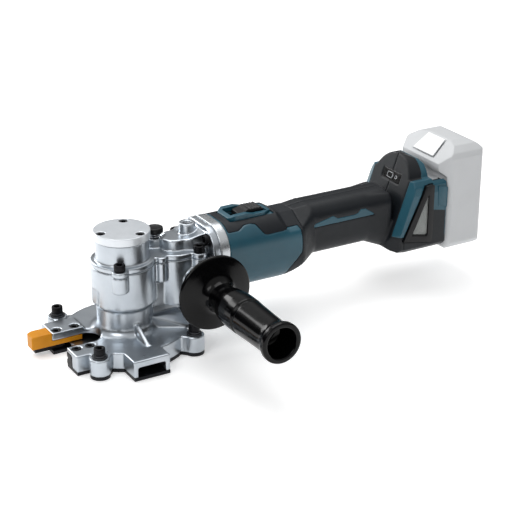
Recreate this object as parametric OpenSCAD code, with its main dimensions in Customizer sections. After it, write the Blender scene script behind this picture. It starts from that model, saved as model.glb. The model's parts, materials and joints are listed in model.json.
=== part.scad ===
// Battery rod flush cutter: a horizontal saw disc in a flat cast foot, an upright
// gear head, a grinder-type motor body with a slide switch, a side grip and a pack.
// Origin: blade spindle axis on the underside of the sole. +X rear, +Z up, -Y grip side.

/* [Foot] */
// Radius of the round rim of the cast foot
rim_r = 54.5; // [53.5:0.5:55.5]
// Height of the top of the cast foot above the table
foot_top = 18; // [17.5:0.5:19]
// Thickness of the steel sole plate
sole_t = 3; // [2.5:0.25:3]
// Distance of each foot bolt from the spindle along X and along Y
bolt_xy = 45; // [44:0.5:46]
// Rod slot side toward the far jaw
slot_far = 12; // [11:0.5:13]
// Rod slot side toward the near jaw
slot_near = -14; // [-15:0.5:-13]

/* [Blade] */
// Radius of the saw blade over its teeth
blade_r = 49.5; // [48:0.5:50]
// Number of saw teeth
blade_teeth = 40; // [24:2:60]
// Thickness of the saw blade
blade_t = 2; // [1.6:0.1:2]

/* [Gear head] */
// Radius of the neck above the foot
neck_r = 24.5; // [24:0.5:25.5]
// Radius of the gear case round the spindle gear
case_r = 28; // [27.5:0.5:29]
// Height of the joint between gear housing and cover
seam_z = 78.5; // [78:0.5:79]
// Height of the top of the round cap
cap_top = 109.5; // [108:0.5:111]
// Radius of the round cap
cap_r = 24.7; // [24.2:0.1:25]
// Distance from spindle to intermediate shaft
shaft_x = 50; // [50:1:50]

/* [Motor body] */
// Height of the motor axis
axis_z = 70; // [70:1:70]
// Half width of the motor housing
motor_h = 32; // [31.5:0.5:32.5]
// Half width of the handle
handle_h = 20.5; // [20:0.5:21]
// Travel of the slide switch
switch_travel = 8; // [4:1:9]

/* [Side grip] */
// Radius of the hand guard on the side grip
guard_r = 34; // [30:1:35]
// Distance of the grip's end from the tool's centre plane
grip_end = 169.5; // [160:0.5:175]

/* [Pack] */
// Width of the battery pack
pack_w = 75; // [74:0.5:76]
// Rear face of the battery pack
pack_back = 362; // [362:1:366]

/* [Hidden] */
$fn = 64;

blade_z0 = 5.5;
roof_z = 13.5;
chamber_r = blade_r + 2;
gear_z0 = 45.5;
gear_h = 10;
grip_x = 59.5;
grip_z = 58.5;
lock_x = 36.5;
lock_y = 10.6;
SILVER = "#c9ced2";
BLACK = "#1b1c1e";
TEAL = "#1f7387";
GREY = "#34383d";

// ---- helpers ----
module xext(x0, x1) translate([x0,0,0]) rotate([90,0,90]) linear_extrude(x1-x0) children();
module yext(y0, y1) translate([0,y1,0]) rotate([90,0,0]) linear_extrude(y1-y0) children();
module zcyl(x, y, z0, z1, r) translate([x,y,z0]) cylinder(r=r, h=z1-z0);
module xcyl(y, z, x0, x1, r) translate([x0,y,z]) rotate([0,90,0]) cylinder(r=r, h=x1-x0);
module ycyl(x, z, y0, y1, r) translate([x,y0,z]) rotate([-90,0,0]) cylinder(r=r, h=y1-y0);
module box(x0,x1,y0,y1,z0,z1) translate([x0,y0,z0]) cube([x1-x0,y1-y0,z1-z0]);
// rounded rectangle of half width a, half height b, centred on (0, c)
module rrect(a, b, r, c) translate([0,c]) union() {
  square([2*a-2*r, 2*b], center=true);
  square([2*a, 2*b-2*r], center=true);
  for (i=[-1,1], j=[-1,1]) translate([i*(a-r), j*(b-r)]) circle(r=r);
}
// socket-head bolt standing on height z, pointing down
module bolt(x, y, z, head_r, head_h, shank_r, len) translate([x,y,z]) difference() {
  union() {
    cylinder(r=head_r, h=head_h);
    translate([0,0,-len]) cylinder(r=shank_r, h=len+0.1);
  }
  translate([0,0,head_h*0.45]) cylinder(r=head_r*0.58, h=head_h, $fn=6);
}
module bearing(r0, r1, h) difference() {
  cylinder(r=r1, h=h);
  translate([0,0,-1]) cylinder(r=r0, h=h+2);
  for (z=[-0.01, h-0.5]) translate([0,0,z]) difference() {
    cylinder(r=r0+(r1-r0)*0.72, h=0.51);
    translate([0,0,-1]) cylinder(r=r0+(r1-r0)*0.28, h=3);
  }
}
// spur gear outline: n teeth of module m, tooth 0 on the X axis
module gear2d(n, m) {
  p = 360/n; rp = n*m/2; ra = rp+0.92*m; rf = rp-1.2*m;
  polygon([for (i=[0:n-1], k=[0:3]) let(
      a = i*p + [-0.30,-0.11,0.11,0.30][k]*p, r = [rf,ra,ra,rf][k]) [r*cos(a), r*sin(a)]]);
}
function arc(cx, cy, r, a0, a1, n) = [for (i=[0:n]) let(a=a0+(a1-a0)*i/n) [cx+r*cos(a), cy+r*sin(a)]];

// ---- foot ----
module foot_outline(g) {
  circle(r=rim_r+g);
  for (a=[45,135,225,315]) rotate(a) {
    translate([bolt_xy*sqrt(2),0]) circle(r=9+g);
    translate([40,-8-g]) square([bolt_xy*sqrt(2)-40, 16+2*g]);
    translate([40,-13-g]) square([13, 26+2*g]);
  }
  // near jaw and far jaw
  translate([-62-g,-35.5-g]) square([34, 20]);
  translate([-64-g,slot_far]) square([34, 26+g]);
  translate([-62-g,-30]) square([34, 30]);
  // chip outlet
  translate([-24.5-g,-69]) square([34+2*g, 40]);
}
module slot2d() {
  translate([-100, slot_near]) square([62, slot_far-slot_near]);
  translate([-38, (slot_far+slot_near)/2]) circle(r=(slot_far-slot_near)/2);
}
module blade_sweep(r, z0, z1) zcyl(0,0,z0,z1,r);

module sole_plate() color("#222326") difference() {
  linear_extrude(sole_t) difference() { foot_outline(-0.3); slot2d(); }
  for (i=[-1,1], j=[-1,1]) zcyl(i*bolt_xy, j*bolt_xy, -1, 10, 3);
}

module neck_solid() rotate_extrude() polygon(concat([[0,foot_top-5],[32.5,foot_top-5],[32.5,foot_top]],
  [for (i=[0:6]) let(a=-90-15*i) [neck_r+8+8*cos(a), foot_top+8+8*sin(a)]],
  [[neck_r,42]], [for (i=[0:4]) let(a=-90+22.5*i) [case_r-3.5+3.5*cos(a), 45.5+3.5*sin(a)]], [[case_r,seam_z],[0,seam_z]]));

// outside of the gear case below the seam
module case_bosses(z1) {
  zcyl(-15,-26,63.5,z1,7);
  zcyl(-2,30,63.5,z1,7);
  zcyl(29.5,-15.5,60.5,z1,5);
  zcyl(29.5,15.5,60.5,z1,5);
  for (j=[-1,1]) zcyl(63,j*22.5,60.5,z1,6.8);
}
module flange_block(z0, z1) intersection() {
  xext(73,80) rrect(31.5,31.5,22,axis_z);
  box(70,82,-40,40,z0,z1);
}
module gear_housing() color(SILVER) difference() {
  union() {
    translate([0,0,sole_t]) linear_extrude(foot_top-sole_t) foot_outline(0);
    // raised far jaw
    box(-63.7,-34,slot_far-4,35.6,foot_top-1,20);
    zcyl(-bolt_xy,bolt_xy,foot_top-1,20,8.7);
    neck_solid();
    // second housing, pedestal and bridge
    zcyl(shaft_x,0,36,seam_z,22.8);
    box(20,46,-17,17,foot_top-1,28.5);
    hull() { box(44,46,-17,17,27,28.5); box(49,51,-33,33,foot_top-1,foot_top+0.5); box(20,22,-17,17,foot_top-1,28.5); }
    box(15,62,-10.5,10.5,foot_top-1,38);
    box(12,50,-14.5,14.5,36,seam_z);
    case_bosses(seam_z);
    box(55,74,-19,19,43,seam_z);
    flange_block(30,seam_z);
    // side grip bosses, left and right
    ycyl(grip_x,grip_z,-38,38,12);
    // stiffening rib
    hull() { box(-2.3,2.3,-26,-22,foot_top-1,29.5); box(-2.3,2.3,-47,-44,foot_top-1,foot_top+0.6); }
    // webs under the motor flange
    for (j=[-1,1]) hull() { box(70,76,j*14-1.5,j*14+1.5,40,46); box(44,50,j*14-1.5,j*14+1.5,foot_top-1,foot_top+4); }
  }
  // rod slot
  translate([0,0,-1]) linear_extrude(60) slot2d();
  // blade chamber and seats of the guide parts
  zcyl(0,0,-1,roof_z,chamber_r);
  box(-90,-35.8,slot_far-1,25,-1,13);
  box(-90,-64,slot_far-1,40,-1,40);
  box(-62.5,-37.8,-24.2,slot_near+1,-1,14);
  // chip outlet
  box(-20.5,5,-80,-30,-1,12);
  // seal, lower bearing, gear space
  zcyl(0,0,10,40,11);
  zcyl(0,0,10,27,14);
  zcyl(0,0,30,46,20);
  zcyl(0,0,45,90,24.8);
  zcyl(31.25,0,45,90,11.2);
  zcyl(shaft_x,0,45,90,19.8);
  zcyl(shaft_x,0,38,46,11);
  zcyl(31.25,0,38,46,4);
  zcyl(lock_x,lock_y,70,90,3.3);
  // motor bore
  xcyl(0,axis_z,58,90,18);
  // side grip threads
  ycyl(grip_x,grip_z,-40,-23.5,4.05);
  ycyl(grip_x,grip_z,23.5,40,3.4);
  // bolt holes
  for (i=[-1,1], j=[-1,1]) zcyl(i*bolt_xy, j*bolt_xy, -1, 30, 3.3);
  for (p=[[-15,-26],[-2,30],[63,-22.5],[63,22.5]]) zcyl(p[0],p[1],66,90,3);
  for (j=[-1,1]) zcyl(29.5,j*15.5,72,90,2);
  for (j=[-1,1]) xcyl(j*21,axis_z-22,70,90,2.7);
  for (j=[-1,1]) xcyl(j*21,axis_z-22,60,73,5.2);
  for (p=[[-57.5,18.3],[-40.5,18.3]]) { zcyl(p[0],p[1],10,30,2.6); zcyl(p[0],p[1],16,30,4.3); }
  for (p=[[-55,-19.5],[-42.5,-19.5]]) { zcyl(p[0],p[1],10,30,2.6); zcyl(p[0],p[1],15,30,4.3); }
}

module housing_cover() color(SILVER) difference() {
  union() {
    zcyl(0,0,seam_z,83.5,case_r);
    zcyl(0,0,83,102.5,23.4);
    zcyl(shaft_x,0,seam_z,83.5,22.8);
    box(12,50,-14.5,14.5,seam_z,83.5);
    intersection() { case_bosses(83.5); box(-40,90,-50,50,seam_z,83.5); }
    zcyl(shaft_x,0,83,93.5,13);
    zcyl(lock_x,lock_y,83,91.5,8.7);
    flange_block(seam_z,110);
    // back of the gear case running up into the motor flange
    hull() { box(73,76,-22,22,seam_z,98); box(52,56,-13,13,seam_z,92); box(60,62,-17,17,seam_z,84); }
    zcyl(63,0,90,103.5,7.4);
  }
  zcyl(0,0,70,86,20);
  zcyl(0,0,80,87,12);
  zcyl(0,0,87,110,16);
  zcyl(31.25,0,70,80,11.2);
  zcyl(shaft_x,0,70,80,19.8);
  zcyl(shaft_x,0,78,91.5,11);
  xcyl(0,axis_z,58,90,18);
  // shaft lock
  zcyl(lock_x,lock_y,70,100,3.1);
  zcyl(lock_x,lock_y,83.5,100,5.5);
  zcyl(lock_x,lock_y,91.5,110,8.1);
  for (j=[-1,1]) zcyl(63,j*22.5,83.5,110,5.6);
  zcyl(63,0,94,110,3.4);
  for (p=[[-15,-26],[-2,30],[63,-22.5],[63,22.5]]) zcyl(p[0],p[1],70,90,3.3);
  for (j=[-1,1]) zcyl(29.5,j*15.5,70,82,2);
  for (a=[60,180,300]) rotate(a) zcyl(19.5,0,92,110,2.1);
  for (j=[-1,1]) xcyl(j*21,axis_z+22,66,90,2.7);
  for (j=[-1,1]) xcyl(j*21,axis_z+22,60,73,5.2);
}

module top_cap() color("#d4d8db") difference() {
  union() {
    zcyl(0,0,102.5,cap_top,cap_r);
    zcyl(0,0,97.2,103,15.9);
  }
  zcyl(0,0,90,100.5,7.5);
  for (a=[60,180,300]) rotate(a) { zcyl(19.5,0,90,120,2.6); zcyl(19.5,0,cap_top-4,120,3.9); }
}
module top_cap_screws() color(BLACK) for (a=[60,180,300]) rotate(a) bolt(19.5,0,cap_top-4,3.8,3.4,2.1,11);
module cover_bolts() color(BLACK) for (p=[[-15,-26],[-2,30],[63,-22.5],[63,22.5]]) bolt(p[0],p[1],83.5,5,6,3,16);
module cover_dowels() color("silver") for (j=[-1,1]) zcyl(29.5,j*15.5,73,82,2);
function lobe_top(i,j) = (i<0 && j>0) ? 20 : foot_top;
module base_bolts() color(BLACK) for (i=[-1,1], j=[-1,1]) bolt(i*bolt_xy,j*bolt_xy,lobe_top(i,j)+3,5,6,3,lobe_top(i,j)+2.5);
module base_bolt_washers() color("#55585c") for (i=[-1,1], j=[-1,1]) translate([i*bolt_xy,j*bolt_xy,lobe_top(i,j)]) {
  difference() { cylinder(r=6.8,h=1.4); translate([0,0,-1]) cylinder(r=3.2,h=4); }
  translate([0,0,1.4]) difference() { cylinder(r=5.4,h=1.6); translate([0,0,-1]) cylinder(r=3.2,h=4); translate([0,-0.3,-1]) rotate(30) cube([9,0.6,4]); }
}
module rod_guide_block() color("#e59a1c") difference() {
  union() {
    translate([0,0,8.5]) linear_extrude(12) polygon([[-83,slot_far],[-64.1,slot_far],[-64.1,26],[-78,26],[-83,23]]);
    box(-64.2,-36,slot_far,24.8,8.5,12.9);
  }
  for (p=[[-57.5,18.3],[-40.5,18.3]]) zcyl(p[0],p[1],5,14,2.1);
}
module rod_guide_bar() color(BLACK) difference() {
  box(-79,-51.7,16,24.8,sole_t,8.4);
  blade_sweep(chamber_r,0,20);
}
module jaw_insert() color(BLACK) difference() {
  box(-62,-38,-24,slot_near,sole_t,13.9);
  blade_sweep(chamber_r,0,8.6);
  translate([-70,slot_near,7]) rotate([45,0,0]) cube([60,2.5,2.5]);
  for (p=[[-55,-19.5],[-42.5,-19.5]]) zcyl(p[0],p[1],7,20,2.1);
}
module jaw_screws() color(BLACK) {
  for (p=[[-57.5,18.3],[-40.5,18.3]]) bolt(p[0],p[1],16,4.2,3.4,2.1,7);
  for (p=[[-55,-19.5],[-42.5,-19.5]]) bolt(p[0],p[1],15,4.2,2.8,2.1,5.5);
}

// ---- blade and spindle ----
module saw_blade() color("#b9bcc0") translate([0,0,blade_z0]) linear_extrude(blade_t) difference() {
  polygon([for (i=[0:blade_teeth-1], k=[0:2]) let(p=360/blade_teeth, a=(i+[0,0.12,0.62][k])*p,
      r=[blade_r-3.4,blade_r,blade_r-1][k]) [r*cos(a), r*sin(a)]]);
  circle(r=10);
}
module inner_flange() color("silver") difference() {
  union() { zcyl(0,0,blade_z0+blade_t,11,17); zcyl(0,0,blade_z0+0.1,blade_z0+blade_t,10); }
  zcyl(0,0,0,20,4.2);
  translate([0,0,3.7]) cylinder(r1=7.9,r2=4.2,h=3.7);
}
module outer_flange() color("silver") difference() {
  zcyl(0,0,3.9,blade_z0,15);
  translate([0,0,3.8]) cylinder(r1=7.7,r2=5.9,h=1.8);
}
module blade_bolt() color(BLACK) difference() {
  union() {
    translate([0,0,3.9]) cylinder(r1=7.5,r2=4,h=3.5);
    zcyl(0,0,7.3,24,4);
  }
  zcyl(0,0,3,6.5,2.6,$fn=6);
}
module spindle() color("silver") difference() {
  union() {
    zcyl(0,0,11,13,13);
    zcyl(0,0,12,30,10);
    zcyl(0,0,29.9,42.3,8.45);
    zcyl(0,0,42.2,45.5,11);
    zcyl(0,0,45.5,55.5,9);
    zcyl(0,0,55.5,86.8,8);
    zcyl(0,0,86.5,96.8,5.95);
  }
  zcyl(0,0,10,25,4);
}
module spindle_gear() color("#9a9da1") difference() {
  translate([0,0,gear_z0]) linear_extrude(gear_h) gear2d(36,1.25);
  zcyl(0,0,40,60,9);
  for (s=[gear_z0-1,gear_z0+gear_h-2]) difference() { zcyl(0,0,s,s+3,18.5); zcyl(0,0,s-1,s+4,12.5); }
}
module spindle_lower_bearing() color("silver") translate([0,0,30.1]) bearing(8.5,20,12);
module spindle_upper_bearing() color("silver") translate([0,0,87]) bearing(6,16,10);
module spindle_oil_seal() color(BLACK) translate([0,0,19]) difference() { cylinder(r=14,h=7.5); translate([0,0,-1]) cylinder(r=10.05,h=10); translate([0,0,-1]) difference() { cylinder(r=12.5,h=6); translate([0,0,-1]) cylinder(r=11,h=8); } }

// ---- gear train ----
module idler_gear() color("#9a9da1") translate([31.25,0,gear_z0]) difference() {
  linear_extrude(gear_h) rotate(180/14) gear2d(14,1.25);
  translate([0,0,-1]) cylinder(r=4.05,h=20);
}
module idler_pin() color("silver") difference() {
  zcyl(31.25,0,38,57,4);
  translate([31.25,0,55.8]) difference() { cylinder(r=6,h=0.8); translate([0,0,-1]) cylinder(r=3.2,h=4); }
}
module idler_retaining_ring() color("#55585c") translate([31.25,0,55.8]) difference() { cylinder(r=5.6,h=0.8); translate([0,0,-1]) cylinder(r=3.2,h=4); translate([0,-1,-1]) cube([9,2,4]); }
module intermediate_shaft() color("silver") union() {
  zcyl(shaft_x,0,38.2,45.2,3.95);
  translate([shaft_x,0,gear_z0]) linear_extrude(gear_h) gear2d(16,1.25);
  zcyl(shaft_x,0,45.1,57.5,6.2);
  zcyl(shaft_x,0,57.4,67,5);
  zcyl(shaft_x,0,66.9,84.2,5);
  zcyl(shaft_x,0,84.1,91.2,3.95);
}
module crown_gear() color("#9a9da1") translate([shaft_x,0,0]) difference() {
  union() {
    rotate_extrude() polygon([[5,57.6],[19.2,57.6],[19.2,60.6],[15.2,60.6],[15,62.3],[9,64.9],[8,66.4],[5,66.4]]);
    for (i=[0:31]) rotate(i*11.25) translate([9.4,0,65.4]) rotate([0,23.63,0]) rotate([90,0,90]) linear_extrude(5) polygon([[-0.42,-1.1],[0.42,-1.1],[0.3,0.9],[-0.3,0.9]]);
  }
  for (i=[0:7]) rotate(i*45-38.1+180) translate([-17.15*-1,0,50]) cylinder(r=2.3,h=20);
}
module intermediate_bearings() color("silver") for (z=[38.1,84.4]) translate([shaft_x,0,z]) bearing(4,11,6.8);
module bevel_pinion() color("#9a9da1") difference() {
  union() {
    translate([59.4,0,axis_z]) rotate([0,90,0]) cylinder(r1=3.1,r2=5.4,h=5.2);
    xcyl(0,axis_z,64.5,69.8,6.5);
    for (i=[0:13]) translate([0,0,axis_z]) rotate([(i+0.5)*360/14,0,0]) translate([59.6,0,-4.1]) rotate([0,23.63,0]) rotate([90,0,90]) linear_extrude(5.3) polygon([[-0.3,-0.8],[0.3,-0.8],[0.42,1.2],[-0.42,1.2]]);
  }
  xcyl(0,axis_z,50,80,2.6);
}
module rotor_shaft() color("silver") {
  xcyl(0,axis_z,59.6,70,2.6);
  xcyl(0,axis_z,69.9,79,4.95);
  xcyl(0,axis_z,78.9,150,5.5);
  xcyl(0,axis_z,149.9,156.8,3.45);
}
module rotor_core() color("#7d8084") difference() { xcyl(0,axis_z,106,142,14.5); xcyl(0,axis_z,100,150,5.5); }
module rotor_front_bearing() color("silver") translate([70,0,axis_z]) rotate([0,90,0]) bearing(5,13,8);
module rotor_rear_bearing() color("silver") translate([150.5,0,axis_z]) rotate([0,90,0]) bearing(3.5,9.5,6);
module cooling_fan() color("#2a2c2f") difference() {
  union() {
    xcyl(0,axis_z,92,94,25);
    xcyl(0,axis_z,93,101,9);
    for (i=[0:10]) translate([93,0,axis_z]) rotate([i*360/11,0,0]) translate([0,-0.8,8]) cube([7.6,1.6,16.5]);
  }
  xcyl(0,axis_z,80,110,5.5);
}
module stator() color("#b06a2c") difference() {
  xcyl(0,axis_z,104,144,28.2);
  xcyl(0,axis_z,100,150,15.3);
  box(100,150,-4.5,4.5,94.9,100);
  for (i=[0:5]) translate([100,0,axis_z]) rotate([i*60+30,0,0]) translate([0,-3.5,14]) cube([50,7,9]);
}
module motor_flange() color(SILVER) difference() {
  union() { xext(80,89) rrect(motor_h,motor_h,23,axis_z); xcyl(0,axis_z,70,81,17.9); }
  xcyl(0,axis_z,60,78,13);
  xcyl(0,axis_z,60,100,8.5);
  xcyl(0,axis_z,83,100,27);
  for (i=[-1,1], j=[-1,1]) xcyl(i*21,axis_z+j*22,70,100,2.5);
}
module flange_screws() color(BLACK) for (i=[-1,1], j=[-1,1]) translate([73,i*21,axis_z+j*22]) rotate([0,-90,0]) bolt(0,0,0,4.6,4.6,2.5,16);

// ---- motor body ----
module body_side(x0, x1) polygon([[x0,axis_z-motor_h-1],[146,axis_z-motor_h-1],[152,41],[173,56],[200,70],[200,110],[x0,110]]);
// behind the switch the upper shoulders fall away toward the neck of the handle
module neck_relief(g) {
  for (j=[-1,1]) translate([0,0,axis_z]) rotate([j*30,0,0]) yext(-60,60) polygon([[143,36-g],[150.5,29.4-g],[165.2,29.4-g],[184,31.5-g],[184,60],[143,60]]);
  yext(-41,41) polygon([[143,102.3-g],[150.5,98.4-g],[165.2,98.6-g],[184,100.3-g],[184,130],[143,130]]);
}
module motor_solid(g, x0, x1) difference() {
  intersection() {
    xext(x0,x1) rrect(motor_h-g,motor_h-g,24,axis_z);
    yext(-40,40) translate([-g,g]) polygon([[80,39.4],[146,39.4],[152,43],[173,57.5],[200,70],[200,110],[80,110]]);
  }
  neck_relief(g);
}
// outline of the coloured side panel
module panel2d() polygon([[88,30],[88,95.3],[101.7,95.3],[106.9,97.4],[110.7,98.3],[115.4,98.3],[119.9,97.1],[121.6,94.7],[123.4,91.9],[125.5,89.1],[129.3,88.4],[161.5,89.2],[162.5,86.3],[163.6,71.8],[163,65.2],[159.2,60.6],[155.1,56.6],[151.2,50.7],[147,30]]);
module motor_panels(g) difference() {
  yext(-40,40) panel2d();
  translate([0,0,0]) box(80,170,-8,8,60,110);
}
module motor_housing() color(TEAL) difference() {
  union() {
    motor_solid(1.6,89,165);
    intersection() { motor_solid(0,89,165); motor_panels(0); }
    xext(89,91.2) rrect(motor_h-0.4,motor_h-0.4,23.5,axis_z);
  }
  xcyl(0,axis_z,80,148,28.2);
  difference() { xcyl(0,axis_z,151,170,25); xcyl(0,axis_z,150,158,13); }
  xcyl(0,axis_z,140,156.6,9.5);
  xcyl(0,axis_z,140,170,7);
  for (i=[0:5]) translate([0,0,axis_z]) rotate([i*60,0,0]) xcyl(19,0,140,160,4.5);
  box(140,170,-4,4,94.6,97.4);
  // well of the slide switch
  box(100,141.5,-8.5,8.5,92,110);
  for (i=[-1,1], j=[-1,1]) xcyl(i*21,axis_z+j*22,80,97,2.5);
}
module motor_overmould() color(GREY) difference() {
  motor_solid(0,91.2,165);
  motor_solid(1.6,80,170);
  motor_panels(0);
  box(98.4,143.6,-14.2,14.2,80,120);
}

// ---- handle and foot of the battery ----
// front face of the rear body: leans back by tilt, with a bevel down each side
rear_tilt = 20.1;
module rear_front(g) translate([262.5,0,58.3]) rotate([0,rear_tilt,0]) linear_extrude(260, center=true)
  polygon([[g,-28.3+0.2*g],[3.7+0.66*g,-37+g],[120,-37+g],[120,37-g],[3.7+0.66*g,37-g],[g,28.3-0.2*g]]);
module rear_yz(g) {
  translate([0,99.7]) circle(r=28.3-g);
  polygon([[-37+g,45.5],[-31,40+g],[31,40+g],[37-g,45.5],[37-g,97],[35.8-g,104.5],[32.5-g,109.6-g],[-32.5+g,109.6-g],[-35.8+g,104.5],[-37+g,97]]);
}
module rear_xz(g) polygon([[246,80],[253+g,50+g],[262+g,43.5+g],[276+g,40+g],[298,39.4+g],[320-g,37+g],[320-g,104-0.6*g],[303-0.6*g,121-0.8*g],[300,124.6-g],[286+g,128.6-g],[270,129]]);
module rear_xy(g) polygon([[253+g,-14],[267.6+g,-37+g],[330,-37+g],[330,37-g],[267.6+g,37-g],[253+g,14]]);
module rear_solid(g) intersection() {
  yext(-40,40) rear_xz(g);
  xext(240,330) rear_yz(g);
  rear_front(g);
  linear_extrude(150) rear_xy(g);
}
module handle_outer(g) union() {
  difference() {
  hull() { intersection() { xext(165,167) rrect(motor_h-2-g,motor_h-1-g,23,axis_z); box(160,190,-40,40,51+g,110); } xext(180,184) rrect(handle_h-g,24.5-g,14,75.5); }
  neck_relief(g);
  }
  xext(180,266) rrect(handle_h-g,24.5-g,14,75.5);
  hull() { xext(243,245) rrect(handle_h-g,24.5-g,14,75.5); intersection() { xext(262,266) rrect(handle_h+3-g,29-g,14,72); box(200,300,-40,40,44+g,97.8-g); } }
  rear_solid(g);
}
module rail_space(g) {
  box(304.1-g,314+g,-31-g,31+g,50-g,150);
  box(313-g,330,-27-g,27+g,50-g,150);
}
module dust_xz(g) polygon([[268.6+1.6*g,53.6+g],[303-g,47.4+g],[303.4-g,105.8-g],[293.4+0.5*g,105.3-g]]);
module inlay2d() polygon([[181,80.5],[181.5,83.5],[203,88],[208,84.7],[226,84.7],[230,85.5],[233,88.7],[238.5,88.3],[250,80.6]]);
module teal_region() polygon([[250,58.2],[271.3,58.2],[271.3,45],[330,45],[330,130],[298.5,130],[297,112],[250,112]]);
screw_at = [[200,56.8],[250,60],[292,45.2]];
module handle_shell() difference() {
  handle_outer(0);
  difference() {
    handle_outer(2.6);
    for (p=screw_at) ycyl(p[0],p[1],-40,40,4.4);
    box(304.1,321,-40,40,46.5,125);
  }
  rail_space(0);
  // mouth toward the motor body and the way of the switch rod
  xcyl(0,axis_z,160,170,22);
  box(160,200,-4,4,94.6,97);
  difference() {
    intersection() { difference() { rear_solid(0); rear_solid(1.2); } yext(-40,40) teal_region(); }
    box(240,296,-28.45,28.45,20,112);
  }
  for (j=[-1,1]) translate([0,j*38,0]) { yext(-2.25,2.25) dust_xz(0); yext(-6,6) dust_xz(4); }
  for (j=[-1,1]) translate([0,j*handle_h,0]) yext(-1,1) inlay2d();
  // window of the charge indicator
  translate([280.3,0,107]) rotate([0,rear_tilt,0]) box(-3,4,-14,14,-5,5);
}
module handle_left() color(GREY) difference() {
  intersection() { handle_shell(); box(160,330,-45,0,0,150); }
  for (p=screw_at) ycyl(p[0],p[1],-12,2,1.6);
}
module handle_right() color(GREY) difference() {
  intersection() { handle_shell(); box(160,330,0,45,0,150); }
  for (p=screw_at) { ycyl(p[0],p[1],-2,40,2.2); ycyl(p[0],p[1],15,45,3.3); }
}
module handle_screws() color(BLACK) for (p=screw_at) difference() {
  union() { ycyl(p[0],p[1],-12,15,1.6); ycyl(p[0],p[1],15,18,3.2); }
  ycyl(p[0],p[1],16.5,20,2,$fn=6);
}
module handle_inlays() color(TEAL) for (j=[-1,1]) translate([0,j*(handle_h-0.45),0]) yext(-0.5,0.5) inlay2d();
module rear_collar() color(TEAL) difference() {
  intersection() { difference() { rear_solid(0); rear_solid(1.15); } yext(-40,40) teal_region(); }
  box(240,296,-28.5,28.5,20,112);
  rail_space(0.5);
  for (j=[-1,1]) translate([0,j*38,0]) yext(-6,6) dust_xz(0);
  box(318.8,330,-40,40,10,200);
  box(303.5,330,-33.5,33.5,10,200);
}
module dust_cover_left() color(BLACK) translate([0,-36.9,0]) { dust_cover_body(-1); }
module dust_cover_right() color(BLACK) translate([0,36.9,0]) { dust_cover_body(1); }
module dust_cover_body(s) difference() {
  yext(-1.1,1.1) dust_xz(0.3);
  for (i=[0:3]) intersection() { yext(-3,3) dust_xz(5.5); box(280+i*5.2,283.4+i*5.2,-5,5,40,110); }
}
module indicator_panel() color("#08090a") translate([280.3,0,107]) rotate([0,rear_tilt,0]) box(0.4,2.9,-13.9,13.9,-4.9,4.9);
module switch_bezel() color(TEAL) difference() {
  intersection() {
    union() {
      linear_extrude(110) polygon([[98.5,-10],[104,-14],[134,-14],[143.5,-7],[143.5,7],[134,14],[104,14],[98.5,10]]);
    }
    yext(-20,20) polygon([[98.5,99],[98.5,103],[104,105.2],[116,105.5],[124,103.4],[136,103.4],[143.5,102],[143.5,99]]);
  }
  box(102.6,139.6,-8.5,8.5,90,120);
  xext(80,160) rrect(motor_h-1.5,motor_h-1.5,23.4,axis_z);
}
module switch_knob() color(BLACK) {
  difference() {
    yext(-7.4,7.4) polygon([[111,100],[112,103.5],[118,105],[121,106.6],[134,106.6],[136,104],[137,100]]);
    for (i=[0:3]) box(122.6+i*2.8,123.8+i*2.8,-10,10,105.9,110);
  }
  box(118,130,-4,4,96.55,100.1);
}
module switch_rod() color("#3a3d40") box(119,212,-3,3,95.3,96.5);
module switch_unit() color("#202225") difference() { box(192,228,-10,10,62,94.8); for (i=[0:3]) box(196+i*8,199+i*8,-12,-8.5,64,92); }
module controller() color("#5b5f63") union() { box(276,295,-25,25,50,70); for (i=[0:3]) box(277+i*4.4,278.6+i*4.4,-23,23,69.9,78); }
module terminal_block() color(BLACK) union() {
  box(297.5,304,-29,29,50,103);
  for (j=[-1,1]) box(304,312,j*16-0.6,j*16+0.6,60,84);
}

// ---- side grip ----
module side_grip() color("#121315") translate([grip_x,0,grip_z]) rotate([90,0,0]) difference() {
  rotate_extrude() polygon([[0,38.4],[10,38.4],[11,39.5],[11,44],[14,50],[31,54],[guard_r-0.6,54.8],[guard_r,56],[guard_r,57.4],[guard_r-0.8,58.4],[18,63.5],[14.4,66.5],[13,70],[13.2,76],[15.2,84],[16.2,92],[16.6,112],[15.4,114],[15.4,116],[16.2,117.5],[15.6,140],[15.4,158],[16,161],[18,163.5],[18,grip_end-1.2],[17,grip_end],[0,grip_end]]);
  translate([0,0,grip_end-26]) cylinder(r=13.4,h=30);
  translate([0,0,30]) cylinder(r=4,h=34);
}
module side_grip_stud() color("silver") ycyl(grip_x,grip_z,-64,-24.5,4);

// ---- shaft lock ----
module shaft_lock_button() color(BLACK) {
  zcyl(lock_x,lock_y,95.5,100.5,7.6);
  zcyl(lock_x,lock_y,85,95.6,3);
  zcyl(lock_x,lock_y,62.6,85.1,1.8);
  zcyl(lock_x,lock_y,76,85.1,3);
}
module shaft_lock_spring() color("silver") translate([lock_x,lock_y,0]) for (i=[0:4]) translate([0,0,84.2+i*2.6]) rotate_extrude() translate([4.3,0]) circle(r=0.5,$fn=16);

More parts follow.
